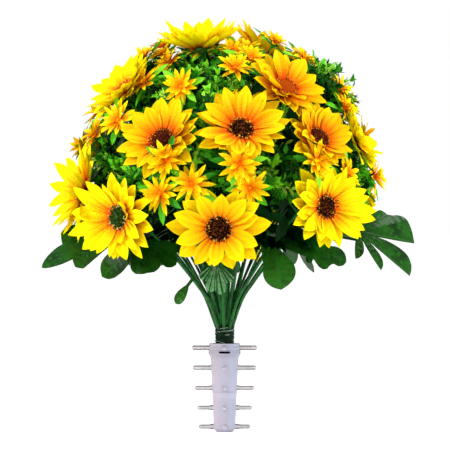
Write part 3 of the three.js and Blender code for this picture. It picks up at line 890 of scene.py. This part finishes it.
def make_inner_leaves():
    """Broad leaves that fill the inside of the crown and its underside, their green darkened as
    painted shade.
    """
    inner = Bundle()
    azimuths = rng.uniform(-180, 180, INNER_LEAVES)
    elevations = np.degrees(np.arcsin(rng.uniform(-0.12, 0.97, INNER_LEAVES)))
    reach = rng.uniform(0.42, 0.9, INNER_LEAVES)
    out = np.array([direction(a, e) for a, e in zip(azimuths, elevations)])
    roots = CROWN_CENTRE + reach[:, None] * CROWN_RADII * out
    along = np.cross(out, rng.normal(0, 1, out.shape)) + 0.5 * out
    skirt = rng.uniform(-180, 180, SKIRT_LEAVES)
    level = np.array([direction(a, 0) for a in skirt])
    distance = rng.uniform(50, 120, SKIRT_LEAVES)[:, None] * MM
    height = (241 + 0.14 * distance / MM + rng.uniform(-14, 8, (SKIRT_LEAVES, 1))) * MM
    skirt_roots = level * distance + height * [0, 0, 1]
    skirt_along = level + np.cross(level, [0, 0, 1]) * rng.normal(0, 0.5, (SKIRT_LEAVES, 1))
    skirt_along = skirt_along - [0, 0, 0.35]
    roots = np.vstack([roots, skirt_roots])
    along = unit(np.vstack([along, skirt_along]))
    normals = np.vstack([out, level * 0.6 + [0, 0, 1]])
    lengths = rng.uniform(26, 42, len(roots)) * MM
    tips = roots + along * lengths[:, None]
    middles = roots + along * lengths[:, None] / 2
    over_gap = in_sky_gap(tips) | in_sky_gap(middles) | in_sky_gap(roots)
    keep = ~(in_front_of_heads(tips) | over_gap)
    add_leaflets(inner, keep, (roots, along, normals, lengths, lengths * INNER_WIDTH),
                 rng.integers(0, len(INNER_SHADE_TONES), keep.sum()))
    inner.build("inner_leaves", tone_materials("inner_leaf_shade", INNER_SHADE_TONES, 0.5, 2 * MM, 0.25),
                "leaves")


# ---- large glossy leaves ----
def polar(reach, turn):
    angle = radians(turn)
    return np.array([reach * cos(angle), reach * sin(angle)])


# Points along one side of a lobe, and rings from a leaf's hub to its edge.
LEAF_STEPS, LEAF_RINGS = 12, 24
# Spacing of the veins (mm), and the share of it that a vein takes.
VEIN_SPACING, VEIN_SHARE = 7.5, 0.16


def lobe_side(cut, tip, full):
    """One edge of a lobe, from its notch to its tip, both given as (turn, reach)."""
    turned_by = cut[0] - tip[0]
    ends = [polar(cut[1], cut[0]), polar(tip[1], tip[0])]
    belly = polar(0.5 * (cut[1] + tip[1]), tip[0] + turned_by * (0.6 + 0.4 * full))
    shoulder = polar(0.97 * tip[1], tip[0] + turned_by * 0.9 * full)
    t = 1 - (1 - np.linspace(0, 1, LEAF_STEPS)[:, None]) ** 1.5
    curve = (1 - t) ** 3 * ends[0] + 3 * t * (1 - t) ** 2 * belly
    return curve + 3 * t**2 * (1 - t) * shoulder + t**3 * ends[1]


def leaf_outline(hub, stalk, full, lean, notch, spread, fingers):
    """Outline about the hub (mm): a lobe for each finger, notches between, and the stalk."""
    root = np.array([stalk[0] - hub[0], stalk[2] - hub[2]], float)
    side = 2 * np.array([-root[1], root[0]]) / np.linalg.norm(root)
    turns = [turn for turn, _ in fingers]
    reaches = [reach for _, reach in fingers]
    cuts = [a + (b - a) * (0.5 + 0.35 * lean) for a, b in zip(turns, turns[1:])]
    cuts = [turns[0] - spread] + cuts + [turns[-1] + spread]
    lows = np.minimum(reaches[:1] + reaches, reaches + reaches[-1:]) * notch
    outline, tips = [root + side], []
    for i, finger in enumerate(fingers):
        first = lobe_side((cuts[i], lows[i]), finger, full * (1 - lean))
        second = lobe_side((cuts[i + 1], lows[i + 1]), finger, full)
        outline += list(first[1 if i else 0:])
        tips.append(len(outline) - 1)
        outline += list(second[-2::-1])
    outline.append(root - side)
    return np.array(outline), tips


def add_leaf(bundle, leaf, first_slot):
    """A lobed leaf with a rib to each tip, raised veins and a wavy edge that droops."""
    azimuth, hub, stalk, slope, full, lean, notch, spread, fingers, tone = leaf
    outline, tips = leaf_outline(hub, stalk, full, lean, notch, spread, fingers)
    rings = np.linspace(0.02, 1, LEAF_RINGS)
    flat = rings[:, None, None] * outline[None]
    reach = np.linalg.norm(flat, axis=-1)
    turn = np.degrees(np.arctan2(outline[:, 1], outline[:, 0]))
    finger_turns = np.array([f[0] for f in fingers])
    apart = (turn[:, None] - finger_turns[None] + 180) % 360 - 180
    offset = np.abs(apart).min(axis=1)
    fold = np.sin(np.radians(np.minimum(offset, 50)))
    rib = 0.9 * np.exp(-((offset / 5) ** 2))
    phase = reach / VEIN_SPACING - offset / 26
    veins = 0.7 * np.abs(np.sin(np.pi * phase)) * np.minimum(1, offset / 8)
    size = max(f[1] for f in fingers)
    wave = 1.6 * np.sin(turn / 13) * (reach / size) ** 2
    lift = 0.14 * reach * fold + rib + veins + wave - 0.10 * reach**2 / size
    across, outwards, up = hub
    normal = unit(np.array([0, -1, slope]))
    x, z = flat[..., 0], flat[..., 1]
    points = np.stack([across + x, -outwards + z * slope, up + z], -1) + lift[..., None] * normal
    c, s = cos(radians(azimuth)), sin(radians(azimuth))
    spin = np.array([[c, s, 0], [-s, c, 0], [0, 0, 1]])
    # The leaf's own colour is in first_slot, and its veins, ribs or stripes in the next. The
    # lighter veins and ribs of the dark and mid leaves are partly their own vein colour and
    # partly painted highlight; the pale leaf's darker stripes are its own.
    columns = len(outline)
    striped = np.broadcast_to(np.arange(columns) % 8 < 3, phase.shape)
    veined = striped if tone == "pale" else phase % 1 < VEIN_SHARE
    slots = first_slot + veined[:-1].astype(int)
    for tip in tips:
        slots[:-2, tip - 1:tip + 1] = first_slot + 1
    bundle.add((points.reshape(-1, 3) @ spin) * MM, grid_faces(LEAF_RINGS, columns, True),
               slots.reshape(-1))


def make_leaves():
    leaves = Bundle()
    tones = {"dark": 0, "mid": 2, "pale": 4}
    for leaf in LEAVES.values():
        add_leaf(leaves, leaf, tones[leaf[-1]])
    gloss = {"Specular IOR Level": 0.12, "Coat Weight": 0.3, "Coat Roughness": 0.2}
    leaves.build("large_leaves", [
        mottle(material("leaf_dark", "#0A3006", 0.36, 2 * MM, 0.2, gloss), "#1C560E", 20 * MM),
        # The rib colours of the dark and mid leaves are lightened with painted highlight.
        material("leaf_dark_rib_highlight", "#1C5812", 0.4, 2 * MM, 0.2, gloss),
        mottle(material("leaf_mid", "#184A0A", 0.4, 2 * MM, 0.2, gloss), "#2A6C14", 14 * MM),
        material("leaf_mid_rib_highlight", "#2A6E1C", 0.5, 2 * MM, 0.2, CLOTH),
        # Its lighter patches are painted highlight over the pale leaf's own green.
        mottle(material("leaf_pale", "#4A9450", 0.55, 2 * MM, 0.3, CLOTH), "#9CC89A", 6 * MM),
        material("leaf_pale_rib", "#1E6428", 0.55, 2 * MM, 0.2, CLOTH),
    ], "leaves", LEAVES)


# ---- neck and plug ----
WIRE_ENDS = 26


def make_neck():
    """The bound bundle: dark tape in lapped turns, with ends of silvery wire."""
    foot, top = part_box("neck")[0][2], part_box("neck")[1][2]
    heights = np.linspace(foot, top, 60)
    lap = 0.35 * MM * np.sin(heights / (4.5 * MM) * TURN)
    radius = np.interp(heights, [foot, 0.1, 0.114, top], [0.0106, 0.0112, 0.0115, 0.012])
    tape = Bundle()
    profile = [(0.1 * MM, foot)] + list(zip(radius + lap, heights)) + [(0.1 * MM, top + 1 * MM)]
    add_lathe(tape, profile, 40, rib=0.03, ribs=9)
    dark = mottle(material("tape", "#040F08", 0.5, 1.5 * MM, 0.8, CLOTH), "#0A3018", 5 * MM)
    tape.build("neck_tape", [dark], "binding", ["neck"])
    wires = Bundle()
    for _ in range(WIRE_ENDS):
        start = rng.uniform(0, TURN)
        turn = np.linspace(start, start + rng.uniform(0.3, 1.0), 10)
        rise = rng.uniform(114 * MM, top - 3 * MM) + (turn - start) * rng.uniform(-4, 4) * MM
        round_neck = np.stack([np.cos(turn), np.sin(turn)], -1) * 12.2 * MM
        add_tube(wires, np.column_stack([round_neck, rise]), (0.32,), 5)
    silver = material("wire", "#B9BEB8", 0.35, 0.8 * MM, 0.2, {"Metallic": 0.8})
    wires.build("neck_wire", [silver], "binding")


# Each tier of pegs: its height and how far its pegs reach (mm).
PEG_TIERS = [(6.9, 32.5), (30.6, 34.7), (55.4, 37.3), (80.5, 39.8), (105.4, 40.7)]
PEG_RADIUS, PEG_START, PEG_SIDES = 2.8, 13.6, 20
# How a peg narrows from its start: (radius, distance).
PEG_ROOT = [(3.8, 0), (3.3, 3), (2.9, 5), (PEG_RADIUS, 8)]
# The slot in the flange, drawn as a black sheet of painted shade (mm).
SLOT_RADIUS, SLOT_HEIGHT = 20.15, 100.1
# The plug's outside and then its bore: (radius, height) in mm.
PLUG_PROFILE = [
    (0.1, 0), (9.6, 0), (10.6, 0.5), (13.4, 3.4), (14.0, 4.6), (15.2, 41.6), (15.25, 42.2),
    (15.6, 42.8), (15.8, 50), (15.5, 50.5), (15.75, 51), (17.6, 92), (18.0, 94), (19.4, 96),
    (20, 97.6), (20, 101.6), (19.6, 102.4), (18.9, 103), (19.1, 104), (18.5, 104.6),
    (18.5, 105.6), (19.1, 106.2), (18.5, 106.8), (18.5, 108), (19.2, 108.8), (19.2, 110.4),
    (18.8, 111), (16.8, 111), (16.4, 110.4), (16.2, 98), (12.1, 96), (12.1, 60), (0.1, 60),
]
# How light the plug is, by share of its height.
PLUG_SHADES = [(0.0, 0.98), (0.36, 0.9), (0.38, 1.0), (0.44, 1.0), (0.455, 0.8), (0.47, 0.92),
               (0.8, 0.86), (0.9, 0.74), (0.93, 0.9)]


def plug_plastic():
    """Milky plastic, a little pinker on one side and bluer on the other, paler low down."""
    made = material("plug_plastic", "#B0ACC0", 0.34, 6 * MM, 0.06,
                    {"Subsurface Weight": 0.2, "Subsurface Scale": 0.004, "Coat Weight": 0.2})
    split = new_node(made, "SeparateXYZ")
    join(made, new_node(made, "TexCoord"), "Object", split, "Vector")
    sideways = new_node(made, "MapRange", From_Min=-15 * MM, From_Max=15 * MM)
    join(made, split, "X", sideways, "Value")
    tint = ramp_node(made, sideways, "Result", [(0, linear("#B8AEBC")), (1, linear("#A4A7BC"))])
    upward = new_node(made, "MapRange", From_Min=0.0, From_Max=0.111)
    join(made, split, "Z", upward, "Value")
    bands = ramp_node(made, upward, "Result",
                      [(share, (shade, shade, shade, 1)) for share, shade in PLUG_SHADES])
    mixed = made.node_tree.nodes.new("ShaderNodeMix")
    mixed.data_type = "RGBA"
    mixed.blend_type = "MULTIPLY"
    mixed.inputs[0].default_value = 1.0
    join(made, tint, "Color", mixed, 6)
    join(made, bands, "Color", mixed, 7)
    join(made, mixed, 2, shader_of(made), "Base Color")
    return made


def edge_shade_slots(rows):
    """Slot 1, painted shade in a darker grey along the upper and lower edges of a peg, where its
    clear plastic shows dark rims.
    """
    turn = (np.arange(PEG_SIDES) + 0.5) / PEG_SIDES * TURN
    slots = np.broadcast_to(np.abs(np.sin(turn)) > 0.7, (rows - 1, PEG_SIDES)).astype(int)
    return slots.reshape(-1)


def make_plug():
    body = Bundle()
    # Each band of the profile is smooth round the plug and meets the next in a crisp edge.
    for band in zip(PLUG_PROFILE, PLUG_PROFILE[1:]):
        add_lathe(body, np.array(band) * MM, 96)
    body.build("plug_body", [plug_plastic()], "plug", ["plug", "plug_foot"])


def make_pegs():
    pegs = Bundle()
    for height, reach in PEG_TIERS:
        for azimuth in (0, 90, 180, 270):
            profile = [(radius, PEG_START + along) for radius, along in PEG_ROOT]
            profile += [(PEG_RADIUS * cos(a), reach + PEG_RADIUS * (sin(a) - 1))
                        for a in np.linspace(0, TURN / 4 - 0.02, 7)]
            # The pegs at the front and back are as milky as the plug; the pegs at the sides get
            # painted shade along their upper and lower edges.
            slots = edge_shade_slots(len(profile)) if azimuth % 180 else 2
            place = Place(facing(azimuth, 0), np.array([0, 0, height * MM]))
            add_lathe(pegs, np.array(profile) * MM, PEG_SIDES, slots, place)
    gloss = {"Coat Weight": 0.2}
    peg_plastic = mottle(material("peg_plastic", "#ABA6AA", 0.3, 4 * MM, 0.06, gloss),
                         "#BFBBC0", 8 * MM)
    # A darker grey: painted shade for the side pegs' edges.
    edge_shade = material("peg_edge_shade", "#3A3434", 0.4, 4 * MM, 0.06, gloss)
    pegs.build("plug_pegs", [peg_plastic, edge_shade, plug_plastic()], "plug")


# A black sheet on the flange: painted shade where the slot's hollow lies.
def make_slot():
    slot = Bundle()
    turn = np.linspace(-0.36, 0.36, 25)
    half = 1.3 * np.sqrt(np.clip(1 - (np.abs(turn) / 0.37) ** 8, 0, 1))
    rows = [np.stack([SLOT_RADIUS * np.sin(turn), -SLOT_RADIUS * np.cos(turn),
                      SLOT_HEIGHT + s * half], -1) for s in (-1, -0.5, 0, 0.5, 1)]
    slot.add(np.concatenate(rows) * MM, grid_faces(len(rows), len(turn)))
    slot.build("plug_slot", [material("slot_painted_shade", "#030303", 0.8, 1 * MM, 0.1, CLOTH)], "plug")


# ---- floor, light and camera ----
AMBIENT = 0.26
FLOOR_GLOW = 0.8
FLOOR_HALF = 80.0
# Each light's azimuth, elevation, distance and size (m), and power (W).
LIGHTS = {
    "left_softbox": (-62, 22, 1.5, 0.7, 19), "right_softbox": (62, 22, 1.5, 0.7, 19),
    "top_softbox": (0, 78, 1.6, 0.8, 14), "front_fill": (-10, 12, 2.2, 0.8, 10),
    "back_left": (-150, 30, 1.8, 0.8, 12), "back_right": (150, 30, 1.8, 0.8, 12),
}
# The camera's distance, and the width and middle (across, up) of what it sees (m).
CAMERA_DISTANCE, VIEW_WIDTH, VIEW_CENTRE = 4.4, 0.5625, (0.0006, 0.2588)


def brighten_for_camera(owner, socket, light, shown):
    """A backdrop that lights the plant softly and still shows as plain white paper."""
    level = new_node(owner, "MapRange", To_Min=light, To_Max=shown)
    join(owner, new_node(owner, "LightPath"), "Is Camera Ray", level, "Value")
    owner.node_tree.links.new(level.outputs["Result"], socket)


def make_stage():
    mesh = bpy.data.meshes.new("floor")
    corners = np.array([[-1, -1, 0], [1, -1, 0], [1, 1, 0], [-1, 1, 0]]) * FLOOR_HALF
    mesh.from_pydata(corners.tolist(), [], [(0, 1, 2, 3)])
    floor = new_object("floor", mesh)
    paper = material("floor_pale", "#FFFFFF", 0.85, 40 * MM, 0.02)
    shader = shader_of(paper)
    shader.inputs["Emission Color"].default_value = (1, 1, 1, 1)
    brighten_for_camera(paper, shader.inputs["Emission Strength"], 0.0, FLOOR_GLOW)
    mesh.materials.append(paper)
    world = bpy.data.worlds.new("studio")
    world.use_nodes = True
    background = world.node_tree.nodes["Background"]
    background.inputs["Color"].default_value = (1, 1, 1, 1)
    brighten_for_camera(world, background.inputs["Strength"], AMBIENT, 1.0)
    bpy.context.scene.world = world


def add_light(name, azimuth, elevation, distance, size, power):
    data = bpy.data.lights.new(name, "AREA")
    data.size = size
    data.energy = power
    light = new_object(name, data)
    place = CROWN_CENTRE + direction(azimuth, elevation) * distance
    light.location = place
    look = Vector(CROWN_CENTRE - place)
    light.rotation_euler = look.to_track_quat("-Z", "Y").to_euler()


def make_camera():
    data = bpy.data.cameras.new("camera")
    data.lens = data.sensor_width * CAMERA_DISTANCE / VIEW_WIDTH
    data.clip_end = 100
    camera = new_object("camera", data)
    camera.location = (VIEW_CENTRE[0], -CAMERA_DISTANCE, VIEW_CENTRE[1])
    camera.rotation_euler = (TURN / 4, 0, 0)
    bpy.context.scene.camera = camera


make_camera()
make_stage()
for name, settings in LIGHTS.items():
    add_light(name, *settings)
bpy.context.scene.view_settings.view_transform = "Standard"
make_heads()
make_daisies()
make_stems()
make_sprays()
make_inner_leaves()
make_leaves()
make_neck()
make_plug()
make_pegs()
make_slot()
